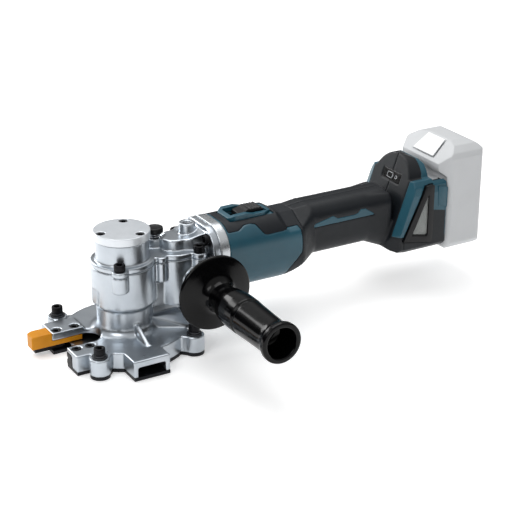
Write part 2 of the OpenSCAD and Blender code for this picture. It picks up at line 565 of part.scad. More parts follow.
// ---- pack ----
module pack_xz(g) polygon(concat([[320.4+g,37+g],[322,35+g],[pack_back-4,35+g]], arc(pack_back-6-g,41+g,6,-90,0,6),
  [[pack_back-g,122]], arc(pack_back-12-g,125.3-g,12,0,90,6), [[336+0.4*g,137.3-g],[331.7+0.3*g,136-g],[313+g,121-0.5*g],[313+g,117+0.3*g],[314.5+g,113+0.6*g],[320.4+g,108.5]]));
module pack_yz(g) polygon([[-pack_w/2+g,41],[-32,35+g],[32,35+g],[pack_w/2-g,41],[pack_w/2-g,126],[pack_w/2-2.5-g,130.5-g],[28,135.4-g],[17,137.2-g],[-17,137.2-g],[-28,135.4-g],[-pack_w/2+2.5+g,130.5-g],[-pack_w/2+g,126]]);
// plan outline, with the front corners cut back
module pack_xy(g) polygon([[300+g,-19.8+0.5*g],[325+0.5*g,-pack_w/2+g],[pack_back-5,-pack_w/2+g],[pack_back-g,-pack_w/2+5],[pack_back-g,pack_w/2-5],[pack_back-5,pack_w/2-g],[325+0.5*g,pack_w/2-g],[300+g,19.8-0.5*g]]);
module pack_solid(g) intersection() { yext(-40,40) pack_xz(g); xext(290,400) pack_yz(g); linear_extrude(150) pack_xy(g); }
module battery_case() color("#dfe1e2") difference() {
  union() {
    pack_solid(0);
    box(307.6,313.4,-30.4,30.4,50.6,104);
    box(313,320.6,-26.4,26.4,50.6,104);
  }
  difference() { pack_solid(2); button_at() box(-1,2.7,-20,20,-13.5,13.5); }
  for (j=[-1,1]) box(304,319,j*16-1.6,j*16+1.6,49,88);
  button_at() xext(-5,1.6) button2d(0.4);
}
module button_at() translate([324.5,0,130.2]) rotate([0,51.34,0]) children();
module button2d(g) polygon([[-16.4-g,-10.6-g],[16.4+g,-10.6-g],[13.3+g,10.6+g],[-13.3-g,10.6+g]]);
module battery_release_button() color("#f4f4f4") button_at() xext(-1.4,0) button2d(0);
module battery_cells() color("#9fb4bf") for (i=[0:4], k=[0,1]) ycyl(332.1+k*18.6,46.4+i*18.5,-31.8,31.8,9.1);

sole_plate();
gear_housing();
housing_cover();
top_cap();
top_cap_screws();
cover_bolts();
cover_dowels();
base_bolts();
base_bolt_washers();
rod_guide_block();
rod_guide_bar();
jaw_insert();
jaw_screws();
saw_blade();
inner_flange();
outer_flange();
blade_bolt();
spindle();
spindle_gear();
spindle_lower_bearing();
spindle_upper_bearing();
spindle_oil_seal();
idler_gear();
idler_pin();
idler_retaining_ring();
intermediate_shaft();
crown_gear();
intermediate_bearings();
bevel_pinion();
rotor_shaft();
rotor_core();
rotor_front_bearing();
rotor_rear_bearing();
cooling_fan();
stator();
motor_flange();
flange_screws();
motor_housing();
motor_overmould();
handle_left();
handle_right();
handle_screws();
handle_inlays();
rear_collar();
dust_cover_left();
dust_cover_right();
indicator_panel();
switch_bezel();
switch_knob();
switch_rod();
switch_unit();
controller();
terminal_block();
side_grip();
side_grip_stud();
shaft_lock_button();
shaft_lock_spring();
battery_case();
battery_release_button();
battery_cells();
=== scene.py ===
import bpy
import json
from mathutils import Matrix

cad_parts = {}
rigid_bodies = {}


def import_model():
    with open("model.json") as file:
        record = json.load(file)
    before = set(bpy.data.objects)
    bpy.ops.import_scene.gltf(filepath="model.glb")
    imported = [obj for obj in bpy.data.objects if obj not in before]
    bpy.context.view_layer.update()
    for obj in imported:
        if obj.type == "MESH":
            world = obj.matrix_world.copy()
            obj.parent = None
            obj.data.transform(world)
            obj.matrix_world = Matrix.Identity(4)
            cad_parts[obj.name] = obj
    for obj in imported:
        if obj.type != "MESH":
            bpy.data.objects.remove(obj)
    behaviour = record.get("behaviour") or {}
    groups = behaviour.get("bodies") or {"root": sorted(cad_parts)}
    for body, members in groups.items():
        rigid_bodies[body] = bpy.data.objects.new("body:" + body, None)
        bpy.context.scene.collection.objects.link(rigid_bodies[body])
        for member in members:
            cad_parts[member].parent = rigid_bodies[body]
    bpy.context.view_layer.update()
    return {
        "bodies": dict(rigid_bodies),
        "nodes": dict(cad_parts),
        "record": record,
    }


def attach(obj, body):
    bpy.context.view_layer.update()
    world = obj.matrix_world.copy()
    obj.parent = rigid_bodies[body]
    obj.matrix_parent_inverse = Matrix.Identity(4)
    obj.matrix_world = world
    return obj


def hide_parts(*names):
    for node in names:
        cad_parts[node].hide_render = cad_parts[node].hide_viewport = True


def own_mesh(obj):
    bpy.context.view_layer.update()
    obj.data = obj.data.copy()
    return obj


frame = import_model()

import bpy, bmesh, json, math, random
import numpy as np
from mathutils import Vector, Matrix

random.seed(7)
rng = np.random.default_rng(7)
MM = 0.001
NODES = frame["nodes"]


# ------------------------------------------------------------------ materials
def new_mat(name):
    m = bpy.data.materials.new(name)
    m.use_nodes = True
    nt = m.node_tree
    for n in list(nt.nodes):
        nt.nodes.remove(n)
    out = nt.nodes.new("ShaderNodeOutputMaterial")
    b = nt.nodes.new("ShaderNodeBsdfPrincipled")
    nt.links.new(b.outputs[0], out.inputs[0])
    return m, nt, b


def node(nt, kind, **kw):
    n = nt.nodes.new(kind)
    for k, v in kw.items():
        setattr(n, k, v)
    return n


def coords(nt, scale=(1, 1, 1)):
    tc = node(nt, "ShaderNodeTexCoord")
    mp = node(nt, "ShaderNodeMapping")
    mp.inputs["Scale"].default_value = scale
    nt.links.new(tc.outputs["Object"], mp.inputs["Vector"])
    return mp.outputs["Vector"]


def noise(nt, vec, scale, detail=3.0, rough=0.55):
    n = node(nt, "ShaderNodeTexNoise")
    n.inputs["Scale"].default_value = scale
    n.inputs["Detail"].default_value = detail
    n.inputs["Roughness"].default_value = rough
    nt.links.new(vec, n.inputs["Vector"])
    return n.outputs["Fac"]


def ramp(nt, fac, stops):
    r = node(nt, "ShaderNodeValToRGB")
    el = r.color_ramp.elements
    while len(el) > 1:
        el.remove(el[-1])
    el[0].position = stops[0][0]
    c = stops[0][1]
    el[0].color = (c[0], c[1], c[2], 1) if not isinstance(c, (int, float)) else (c, c, c, 1)
    for p, c in stops[1:]:
        e = el.new(p)
        e.color = (c[0], c[1], c[2], 1) if not isinstance(c, (int, float)) else (c, c, c, 1)
    nt.links.new(fac, r.inputs["Fac"])
    return r.outputs["Color"]


def mixc(nt, fac, a, b, mode="MIX"):
    m = node(nt, "ShaderNodeMix", data_type="RGBA", blend_type=mode)
    for sock, v in ((m.inputs[0], fac), (m.inputs[6], a), (m.inputs[7], b)):
        if hasattr(v, "is_linked") or hasattr(v, "links"):
            nt.links.new(v, sock)
        elif isinstance(v, (int, float)):
            sock.default_value = v
        else:
            sock.default_value = (v[0], v[1], v[2], 1)
    return m.outputs[2]


def bump(nt, b, height, strength, dist=0.0002, normal=None):
    bp = node(nt, "ShaderNodeBump")
    bp.inputs["Strength"].default_value = strength
    bp.inputs["Distance"].default_value = dist
    nt.links.new(height, bp.inputs["Height"])
    if normal is not None:
        nt.links.new(normal, bp.inputs["Normal"])
    nt.links.new(bp.outputs["Normal"], b.inputs["Normal"])
    return bp.outputs["Normal"]


def make(name, c0, c1, metallic, r0, r1, grain=900.0, gstr=0.25, gdist=0.0002, patch=25.0,
         coat=0.0, wear=None, wear_scale=160.0, wear_lo=0.66, spec=None):
    """Two-tone colour with large patches, grain in the bump, roughness from noise, optional wear flecks."""
    m, nt, b = new_mat(name)
    v = coords(nt)
    big = noise(nt, v, patch, 4.0)
    fine = noise(nt, v, grain, 2.0, 0.5)
    col = ramp(nt, big, [(0.3, c0), (0.7, c1)])
    if wear is not None:
        fl = noise(nt, v, wear_scale, 6.0, 0.7)
        f = ramp(nt, fl, [(wear_lo, 0.0), (wear_lo + 0.06, 1.0)])
        bw = node(nt, "ShaderNodeRGBToBW")
        nt.links.new(f, bw.inputs[0])
        col = mixc(nt, bw.outputs[0], col, wear)
    nt.links.new(col, b.inputs["Base Color"])
    b.inputs["Metallic"].default_value = metallic
    mid = noise(nt, v, patch * 9, 3.0)
    rr = ramp(nt, mid, [(0.25, r0), (0.75, r1)])
    bw2 = node(nt, "ShaderNodeRGBToBW")
    nt.links.new(rr, bw2.inputs[0])
    nt.links.new(bw2.outputs[0], b.inputs["Roughness"])
    bump(nt, b, fine, gstr, gdist)
    if coat:
        b.inputs["Coat Weight"].default_value = coat
        b.inputs["Coat Roughness"].default_value = 0.08
    if spec is not None:
        b.inputs["Specular IOR Level"].default_value = spec
    return m


def srgb(r, g, b):
    f = lambda u: (u / 255 / 12.92) if u / 255 <= 0.04045 else ((u / 255 + 0.055) / 1.055) ** 2.4
    return (f(r), f(g), f(b))


M = {}
M["cast"] = make("cast_aluminium", srgb(172, 179, 186), srgb(192, 198, 204), 0.97, 0.27, 0.34, grain=1500, gstr=0.13, gdist=0.0001, patch=24)
M["cap"] = make("cap_aluminium", srgb(216, 221, 226), srgb(224, 228, 232), 0.72, 0.34, 0.42, grain=2600, gstr=0.10, gdist=0.0001, patch=40)
M["flange"] = make("flange_aluminium", srgb(184, 189, 192), srgb(204, 208, 211), 0.9, 0.24, 0.34, grain=1800, gstr=0.12, gdist=0.0001, patch=40)
M["black_steel"] = make("black_oxide_steel", srgb(16, 16, 18), srgb(30, 30, 33), 0.8, 0.32, 0.46, grain=2500, gstr=0.2, gdist=0.00008, patch=120)
M["steel"] = make("bright_steel", srgb(170, 172, 176), srgb(196, 198, 201), 1.0, 0.22, 0.34, grain=2200, gstr=0.12, gdist=0.00006, patch=60)
M["gear_steel"] = make("gear_steel", srgb(128, 130, 134), srgb(150, 152, 156), 1.0, 0.28, 0.42, grain=1800, gstr=0.2, gdist=0.00008, patch=60)
M["washer"] = make("washer_steel", srgb(60, 61, 64), srgb(88, 90, 94), 0.9, 0.3, 0.45, grain=2200, gstr=0.2, gdist=0.00006, patch=100)
M["sole"] = make("sole_steel", srgb(26, 27, 30), srgb(40, 41, 45), 0.75, 0.38, 0.52, grain=1300, gstr=0.25, gdist=0.0001, patch=40, wear=srgb(92, 94, 98), wear_scale=420, wear_lo=0.72)
M["orange"] = make("orange_paint", srgb(194, 124, 2), srgb(212, 140, 4), 0.0, 0.42, 0.56, grain=900, gstr=0.28, gdist=0.00012, patch=45, wear=srgb(150, 88, 24), wear_scale=700, wear_lo=0.74, coat=0.04, spec=0.3)
M["guide_black"] = make("guide_black", srgb(20, 20, 22), srgb(33, 33, 36), 0.6, 0.42, 0.6, grain=1500, gstr=0.3, gdist=0.0001, patch=80)
M["seal"] = make("seal_rubber", srgb(22, 22, 23), srgb(30, 30, 31), 0.0, 0.6, 0.75, grain=1800, gstr=0.2)
M["teal"] = make("teal_plastic", srgb(17, 70, 86), srgb(24, 82, 99), 0.0, 0.34, 0.44, grain=2600, gstr=0.16, gdist=0.00008, patch=22, coat=0.12)
M["overmould"] = make("dark_overmould", srgb(15, 19, 24), srgb(22, 27, 33), 0.0, 0.46, 0.58, grain=3000, gstr=0.4, gdist=0.0001, patch=20, spec=0.3)
M["dark"] = make("dark_plastic", srgb(13, 17, 22), srgb(20, 25, 30), 0.0, 0.36, 0.48, grain=2800, gstr=0.35, gdist=0.0001, patch=20, spec=0.32)
M["black"] = make("black_plastic", srgb(10, 10, 12), srgb(17, 17, 19), 0.0, 0.34, 0.46, grain=2600, gstr=0.25, gdist=0.0001, patch=35, spec=0.3)
M["gloss"] = make("gloss_black_grip", srgb(1, 1, 2), srgb(3, 3, 4), 0.0, 0.12, 0.18, grain=1800, gstr=0.05, gdist=0.00005, patch=30, spec=0.2)
M["panel"] = make("panel_black", srgb(8, 8, 9), srgb(12, 12, 13), 0.0, 0.16, 0.22, grain=2000, gstr=0.04, gdist=0.00004, patch=60, coat=0.3)
M["fan"] = make("fan_plastic", srgb(45, 46, 49), srgb(58, 59, 62), 0.0, 0.5, 0.6, grain=1500, gstr=0.2)
M["lamination"] = make("lamination_steel", srgb(120, 120, 122), srgb(140, 140, 143), 0.9, 0.35, 0.5, grain=900, gstr=0.3)
M["copper"] = make("stator_copper", srgb(150, 88, 50), srgb(176, 108, 62), 0.9, 0.3, 0.5, grain=1200, gstr=0.4)
M["spring"] = make("spring_steel", srgb(190, 192, 196), srgb(210, 212, 216), 1.0, 0.14, 0.22, grain=2000, gstr=0.05, gdist=0.00004, patch=120)
M["resin"] = make("controller_resin", srgb(64, 67, 70), srgb(78, 81, 84), 0.0, 0.5, 0.6, grain=1500, gstr=0.2)
M["pack"] = make("pack_plastic", srgb(196, 198, 200), srgb(204, 206, 208), 0.0, 0.44, 0.54, grain=2600, gstr=0.22, gdist=0.0001, patch=18)
M["pack_button"] = make("pack_button_plastic", srgb(238, 239, 240), srgb(244, 245, 246), 0.0, 0.36, 0.46, grain=2400, gstr=0.15, gdist=0.00008, patch=40)
M["cell"] = make("cell_sleeve", srgb(92, 132, 158), srgb(108, 146, 170), 0.2, 0.3, 0.4, grain=1500, gstr=0.1)
M["mesh_metal"] = make("filter_mesh_metal", srgb(168, 172, 170), srgb(196, 199, 197), 0.8, 0.35, 0.5, grain=3000, gstr=0.4, gdist=0.0001, patch=60)
M["mesh_felt"] = make("filter_felt", srgb(120, 123, 122), srgb(142, 145, 143), 0.1, 0.8, 0.9, grain=2200, gstr=0.5, gdist=0.0001, patch=90)
M["mark"] = make("pale_mark", srgb(206, 210, 214), srgb(216, 220, 223), 0.0, 0.4, 0.5, grain=2000, gstr=0.1, patch=80)

# saw blade: turned lines round the axis
m, nt, b = new_mat("blade_steel")
tc = node(nt, "ShaderNodeTexCoord")
sx = node(nt, "ShaderNodeSeparateXYZ"); nt.links.new(tc.outputs["Object"], sx.inputs[0])
rad = node(nt, "ShaderNodeVectorMath", operation="LENGTH")
cx = node(nt, "ShaderNodeCombineXYZ")
nt.links.new(sx.outputs[0], cx.inputs[0]); nt.links.new(sx.outputs[1], cx.inputs[1])
nt.links.new(cx.outputs[0], rad.inputs[0])
c2 = node(nt, "ShaderNodeCombineXYZ"); nt.links.new(rad.outputs["Value"], c2.inputs[0])
ring = noise(nt, c2.outputs[0], 2500, 4.0)
nt.links.new(ramp(nt, ring, [(0.3, srgb(140, 143, 148)), (0.7, srgb(190, 193, 197))]), b.inputs["Base Color"])
b.inputs["Metallic"].default_value = 1.0
b.inputs["Roughness"].default_value = 0.3
bump(nt, b, ring, 0.25, 0.00005)
M["blade"] = m

NODE_MAT = dict(
    sole_plate="sole", gear_housing="cast", housing_cover="cast", top_cap="cap", top_cap_screws="black_steel",
    cover_bolts="black_steel", cover_dowels="steel", base_bolts="black_steel", base_bolt_washers="washer",
    rod_guide_block="orange", rod_guide_bar="guide_black", jaw_insert="guide_black", jaw_screws="black_steel",
    saw_blade="blade", inner_flange="steel", outer_flange="steel", blade_bolt="black_steel", spindle="steel",
    spindle_gear="gear_steel", spindle_lower_bearing="steel", spindle_upper_bearing="steel", spindle_oil_seal="seal",
    idler_gear="gear_steel", idler_pin="steel", idler_retaining_ring="washer", intermediate_shaft="steel",
    crown_gear="gear_steel", intermediate_bearings="steel", bevel_pinion="gear_steel", rotor_shaft="steel",
    rotor_core="lamination", rotor_front_bearing="steel", rotor_rear_bearing="steel", cooling_fan="fan", stator="copper",
    motor_flange="flange", flange_screws="black_steel", motor_housing="teal", motor_overmould="overmould",
    handle_left="dark", handle_right="dark", handle_screws="black_steel", handle_inlays="teal", rear_collar="teal",
    dust_cover_left="black", dust_cover_right="black", indicator_panel="panel", switch_bezel="teal", switch_knob="black",
    switch_rod="black", switch_unit="black", controller="resin", terminal_block="black", side_grip="gloss",
    side_grip_stud="steel", shaft_lock_button="black", shaft_lock_spring="spring", battery_case="pack",
    battery_release_button="pack_button", battery_cells="cell")
for n, key in NODE_MAT.items():
    o = NODES[n]
    if not o.data.materials:
        o.data.materials.append(M[key])
    for i in range(len(o.data.materials)):
        o.data.materials[i] = M[key]


# ------------------------------------------------------------------ stage, light, camera
def floor():
    me = bpy.data.meshes.new("floor")
    s = 6.0
    me.from_pydata([(-s, -s, -0.0002), (s, -s, -0.0002), (s, s, -0.0002), (-s, s, -0.0002)], [], [(0, 1, 2, 3)])
    o = bpy.data.objects.new("floor", me)
    bpy.context.collection.objects.link(o)
    fm = make("floor_white", srgb(250, 250, 250), srgb(252, 252, 252), 0.0, 0.55, 0.65, grain=60, gstr=0.02)
    fb = fm.node_tree.nodes["Principled BSDF"]
    fb.inputs["Emission Color"].default_value = (1, 1, 1, 1)
    fb.inputs["Emission Strength"].default_value = 0.3
    me.materials.append(fm)


floor()


def area(name, loc, target, size, power, col=(1, 1, 1), size_y=None):
    l = bpy.data.lights.new(name, "AREA")
    l.energy = power
    l.color = col
    l.size = size
    if size_y:
        l.shape = "RECTANGLE"
        l.size_y = size_y
    o = bpy.data.objects.new(name, l)
    bpy.context.collection.objects.link(o)
    o.location = loc
    d = Vector(target) - Vector(loc)
    o.rotation_euler = d.to_track_quat("-Z", "Y").to_euler()
    return o


area("key_left", (-1.0, -0.55, 1.1), (0.05, 0, 0.05), 0.7, 5.5)
area("top_soft", (0.2, 0.45, 1.4), (0.12, 0, 0.05), 1.1, 10)
area("rim_back", (-0.35, 1.1, 0.6), (0.05, 0, 0.06), 0.6, 7)
w = bpy.data.worlds.new("world")
bpy.context.scene.world = w
w.use_nodes = True
bg = w.node_tree.nodes["Background"]
wt = w.node_tree
wc = wt.nodes.new("ShaderNodeTexCoord")
ws = wt.nodes.new("ShaderNodeSeparateXYZ")
wt.links.new(wc.outputs["Generated"], ws.inputs[0])
wm = wt.nodes.new("ShaderNodeMapRange")
wm.inputs["From Min"].default_value = -1.0
wm.inputs["From Max"].default_value = 1.0
wt.links.new(ws.outputs[2], wm.inputs["Value"])
wr = ramp(wt, wm.outputs["Result"], [(0.0, 0.45), (0.46, 0.05), (0.61, 0.07), (0.69, 0.3), (0.77, 0.9), (1.0, 1.0)])
wt.links.new(wr, bg.inputs["Color"])
bg.inputs["Strength"].default_value = 0.72

# camera: the photo's viewing angle
F, PITCH, AZ, P0, S0 = 1500.0, 23.3, 30.0, (125.8, 343.6), 1.13
p, a = math.radians(PITCH), math.radians(AZ)
fwd = np.array([math.sin(a) * math.cos(p), math.cos(a) * math.cos(p), -math.sin(p)])
right = np.array([math.cos(a), -math.sin(a), 0.0])
up = np.cross(right, fwd)
R = np.array([right, up, fwd])
ray = np.array([(P0[0] - 255) / F, -(P0[1] - 255) / F, 1.0]) * (F / S0)
C = -(R.T @ ray) * MM
cam = bpy.data.cameras.new("photo_view")
cam.sensor_width = 36.0
cam.lens = 36.0 * F / 510.0
cam.clip_end = 20.0
co = bpy.data.objects.new("photo_view", cam)
bpy.context.collection.objects.link(co)
mw = Matrix(((right[0], up[0], -fwd[0], C[0]), (right[1], up[1], -fwd[1], C[1]), (right[2], up[2], -fwd[2], C[2]), (0, 0, 0, 1)))
co.matrix_world = mw
bpy.context.scene.camera = co
bpy.context.scene.view_settings.view_transform = "Standard"

#PIECES-BEGIN
BODY_OF = {}
for bn, be in frame["bodies"].items():
    for nn, no in NODES.items():
        if no.parent is be:
            BODY_OF[nn] = bn


def link(o):
    bpy.context.collection.objects.link(o)
    return o


def finish_piece(o, body, *nodes, slot=None):
    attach(o, body)
    if nodes:
        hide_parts(*nodes)
    return o


SLOT_OF = {s["node"]: s["material_slot"] for s in frame["record"]["subparts"]}


def softened(n, voxel, iters, factor=0.5, mat=None, name=None):
    """A fine, evenly meshed copy of a node with its edges rounded as a casting or moulding has them."""
    src = NODES[n]
    o = link(bpy.data.objects.new(name or n + "_formed", src.data.copy()))
    r = o.modifiers.new("even", "REMESH")
    r.mode = "VOXEL"
    r.voxel_size = voxel * MM * 1.0
    r.adaptivity = 0.0
    r.use_smooth_shade = True
    s = o.modifiers.new("soft", "SMOOTH")
    s.factor = factor
    s.iterations = iters
    dg = bpy.context.evaluated_depsgraph_get()
    me = bpy.data.meshes.new_from_object(o.evaluated_get(dg))
    o.modifiers.clear()
    o.data = me
    me.materials.clear()
    me.materials.append(mat or M[NODE_MAT[n]])
    for p_ in me.polygons:
        p_.use_smooth = True
    return finish_piece(o, BODY_OF[n], n, slot=SLOT_OF[n])


def mesh_obj(name, bm, mat, smooth_angle=35):
    bmesh.ops.recalc_face_normals(bm, faces=bm.faces)
    me = bpy.data.meshes.new(name)
    bm.to_mesh(me)
    bm.free()
    me.materials.append(mat)
    for p_ in me.polygons:
        p_.use_smooth = True
    for e in me.edges:
        pass
    o = link(bpy.data.objects.new(name, me))
    return o


def sharp(o, deg=32):
    bm = bmesh.new()
    bm.from_mesh(o.data)
    lim = math.radians(deg)
    for e in bm.edges:
        if len(e.link_faces) == 2 and e.calc_face_angle(0) > lim:
            e.smooth = False
    bm.to_mesh(o.data)
    bm.free()
    return o


def lathe_into(bm, prof, seg, origin, axis, rfun=None):
    """prof: list of (r, h) or (callable(theta), h); closed with caps where r is 0."""
    ax = Vector(axis).normalized()
    side = Vector((0, 0, 1)) if abs(ax.z) < 0.9 else Vector((1, 0, 0))
    u = ax.cross(side).normalized()
    w_ = ax.cross(u).normalized()
    o = Vector(origin)
    rings = []
    for r, h in prof:
        if not callable(r) and r < 1e-6:
            rings.append([bm.verts.new((o + ax * h) * MM)])
            continue
        ring = []
        for k in range(seg):
            t = 2 * math.pi * k / seg
            rr = r(t) if callable(r) else r
            ring.append(bm.verts.new((o + ax * h + (u * math.cos(t) + w_ * math.sin(t)) * rr) * MM))
        rings.append(ring)
    for a_, b_ in zip(rings, rings[1:]):
        for k in range(seg):
            k2 = (k + 1) % seg
            if len(a_) == 1 and len(b_) == 1:
                continue
            if len(a_) == 1:
                bm.faces.new((a_[0], b_[k2], b_[k]))
            elif len(b_) == 1:
                bm.faces.new((a_[k], a_[k2], b_[0]))
            else:
                bm.faces.new((a_[k], a_[k2], b_[k2], b_[k]))


def hexr(af):
    """Radius of a hexagon of that half width across flats, by angle."""
    def f(t):
        q = (t % (math.pi / 3)) - math.pi / 6
        return af / math.cos(q)
    return f


def knurl(r, d=0.11, n=36):
    return lambda t: r - d * (0.5 + 0.5 * math.cos(n * t))


def socket_bolt(bm, at, axis, hr, hh, sr, length, hex_half, kn=True):
    """Socket-head bolt with a knurled, chamfered head. at is under the head, axis points out of the head."""
    k = knurl(hr, 0.14 if kn else 0.0)
    prof = [(0, -length), (sr * 0.8, -length), (sr, -length + 0.5), (sr, -0.2), (sr + 0.25, 0.0), (hr - 0.35, 0.0), (hr - 0.12, 0.25),
            (k, 0.5), (k, hh * 0.4), (k, hh - 0.75), (hr - 0.12, hh - 0.55), (hr - 0.25, hh - 0.22), (hr - 0.6, hh), (hex_half + 0.75, hh),
            (hex_half + 0.55, hh - 0.05), (hexr(hex_half), hh - 0.35), (hexr(hex_half), hh * 0.5), (hex_half * 0.6, hh * 0.42), (0, hh * 0.4)]
    lathe_into(bm, prof, 144, at, axis)


def bolts(name, node, items, mat="black_steel"):
    bm = bmesh.new()
    for it in items:
        socket_bolt(bm, *it)
    o = sharp(mesh_obj(name, bm, M[mat]), 40)
    return finish_piece(o, BODY_OF[node], node, slot=SLOT_OF[node])


# castings and mouldings
softened("gear_housing", 0.80, 7)
softened("housing_cover", 0.80, 6)
softened("top_cap", 0.45, 2)
softened("motor_flange", 0.6, 3)
softened("motor_housing", 0.75, 5)
softened("motor_overmould", 0.6, 4)
softened("handle_left", 0.75, 6)
softened("handle_right", 0.75, 6)
collar = softened("rear_collar", 0.5, 3)
collar.data.materials.append(M["dark"])
for p_ in collar.data.polygons:
    c_ = p_.center / MM
    if (303.4 < c_.x < 317.9 and c_.z < 79.0 + (c_.x - 309) * -0.22) or c_.z < 52.5 or (c_.x < 303.4 and c_.z < 58.3 and c_.x > 270):
        p_.material_index = 1
softened("switch_bezel", 0.4, 4)
softened("switch_knob", 0.3, 3)
softened("battery_case", 0.6, 4)
bb = softened("battery_release_button", 0.35, 3)
tilt_b = math.radians(51.34)
ub, vb, nb = Vector((math.sin(tilt_b), 0, math.cos(tilt_b))), Vector((0, 1, 0)), Vector((-math.cos(tilt_b), 0, math.sin(tilt_b)))
cb = sum((v_.co for v_ in bb.data.vertices), Vector((0, 0, 0))) / len(bb.data.vertices)
lo_b = min((v_.co - cb).dot(nb) for v_ in bb.data.vertices)
hi_b = max((v_.co - cb).dot(nb) for v_ in bb.data.vertices)
for v_ in bb.data.vertices:
    d_ = v_.co - cb
    a_, b_, c_ = d_.dot(ub) * 0.965, d_.dot(vb) * 0.965, d_.dot(nb)
    c_ = hi_b - (hi_b - c_) * (1 - 0.5 * MM / max(hi_b - lo_b, 1e-6))
    v_.co = cb + ub * a_ + vb * b_ + nb * c_
softened("handle_inlays", 0.35, 3)
softened("rod_guide_block", 0.4, 3)
softened("rod_guide_bar", 0.4, 3)
softened("jaw_insert", 0.4, 3)
softened("indicator_panel", 0.3, 2)

# bolts
Z = (0, 0, 1)
bolts("cover_bolts_detail", "cover_bolts", [((x, y, 83.5), Z, 5, 6, 3, 16, 2.5) for x, y in ((-15, -26), (-2, 30), (63, -22.5), (63, 22.5))])
top = {(-1, 1): 20.0}
bolts("base_bolts_detail", "base_bolts", [((i * 45, j * 45, top.get((i, j), 18.0) + 3), Z, 5, 6, 3, top.get((i, j), 18.0) + 2.5, 2.5) for i in (-1, 1) for j in (-1, 1)])
bolts("cap_screws_detail", "top_cap_screws", [((19.5 * math.cos(math.radians(a_)), 19.5 * math.sin(math.radians(a_)), 105.5), Z, 3.8, 3.4, 2.1, 11, 2.0, False) for a_ in (60, 180, 300)])
bolts("jaw_screws_detail", "jaw_screws", [((-57.5, 18.3, 16), Z, 4.2, 3.4, 2.1, 7, 2.0, False), ((-40.5, 18.3, 16), Z, 4.2, 3.4, 2.1, 7, 2.0, False),
                                          ((-55, -19.5, 15), Z, 4.2, 2.8, 2.1, 5.5, 2.0, False), ((-42.5, -19.5, 15), Z, 4.2, 2.8, 2.1, 5.5, 2.0, False)])
bolts("flange_screws_detail", "flange_screws", [((73, i * 21, 70 + j * 22), (-1, 0, 0), 4.6, 4.6, 2.5, 16, 2.2) for i in (-1, 1) for j in (-1, 1)])

# washers: a flat one and a split spring one under each foot bolt
bm = bmesh.new()
for i in (-1, 1):
    for j in (-1, 1):
        z0 = top.get((i, j), 18.0)
        lathe_into(bm, [(3.2, z0 + 0.05), (6.6, z0 + 0.05), (6.8, z0 + 0.25), (6.8, z0 + 1.15), (6.6, z0 + 1.35), (3.2, z0 + 1.35), (3.2, z0 + 0.05)], 96, (i * 45, j * 45, 0), Z)
        # the spring washer's ring, cut and offset at its split
        n_ = 90
        prev = None
        first = None
        for k in range(n_ + 1):
            t = math.radians(35) + (2 * math.pi - 0.09) * k / n_
            dz = 0.25 * (k / n_ - 0.5)
            c_ = (math.cos(t), math.sin(t))
            ring = [bm.verts.new(((i * 45 + c_[0] * r_) * MM, (j * 45 + c_[1] * r_) * MM, (z_ + dz) * MM)) for r_, z_ in
                    ((3.3, z0 + 1.55), (5.25, z0 + 1.55), (5.4, z0 + 1.7), (5.4, z0 + 2.7), (5.25, z0 + 2.85), (3.3, z0 + 2.85))]
            if prev:
                for q in range(6):
                    bm.faces.new((prev[q], prev[(q + 1) % 6], ring[(q + 1) % 6], ring[q]))
            else:
                first = ring
            prev = ring
        bm.faces.new(first)
        bm.faces.new(prev[::-1])
o = sharp(mesh_obj("foot_washers_detail", bm, M["washer"]), 30)
finish_piece(o, "root", "base_bolt_washers", slot=SLOT_OF["base_bolt_washers"])


# side grip: one smooth turned body
def spline(pts, per=10):
    out = []
    P_ = [Vector((a_, b_, 0)) for a_, b_ in pts]
    for i in range(len(P_) - 1):
        p0, p1, p2, p3 = P_[max(i - 1, 0)], P_[i], P_[i + 1], P_[min(i + 2, len(P_) - 1)]
        n_ = max(2, min(per, int((p2 - p1).length / 0.7)))
        for k in range(n_):
            t = k / n_
            # tension keeps the curve from overshooting the corners
            m1, m2 = (p2 - p0) * 0.32, (p3 - p1) * 0.32
            h00, h10, h01, h11 = 2 * t**3 - 3 * t**2 + 1, t**3 - 2 * t**2 + t, -2 * t**3 + 3 * t**2, t**3 - t**2
            q = p1 * h00 + m1 * h10 + p2 * h01 + m2 * h11
            out.append((max(q.x, 0.0), q.y))
    out.append(pts[-1])
    return out


GE = 169.5
outer = spline([(10.2, 38.4), (11, 39.4), (11, 44), (13.6, 49.4), (30.8, 54.0), (33.2, 54.7), (34.0, 55.6), (34.0, 57.2), (33.2, 58.3), (28, 60.2), (18, 63.4), (14.6, 66.4), (13.1, 70), (13.2, 76), (15.1, 84), (16.2, 92), (16.7, 102), (16.6, 112)], 12)
outer += [(16.45, 113.2), (15.9, 113.8), (15.45, 114.2), (15.4, 115.4), (15.9, 116.2), (16.3, 117.0)]
outer += spline([(16.35, 118), (15.9, 130), (15.5, 145), (15.4, 156), (15.9, 160.5), (17.4, 163.4), (18.0, 165), (18.0, 168.0), (17.6, 169.1), (16.9, 169.5)], 10)
outer += [(14.6, 169.5), (13.9, 169.3), (13.4, 168.6), (13.35, 160), (13.3, 146), (12.4, 144.4), (6, 143.9), (0, 143.8)]
bm = bmesh.new()
lathe_into(bm, [(0, 38.4)] + outer, 160, (59.5, 0, 58.5), (0, -1, 0))
o = sharp(mesh_obj("side_grip_turned", bm, M["gloss"]), 60)
finish_piece(o, "side_grip_body", "side_grip", slot=SLOT_OF["side_grip"])

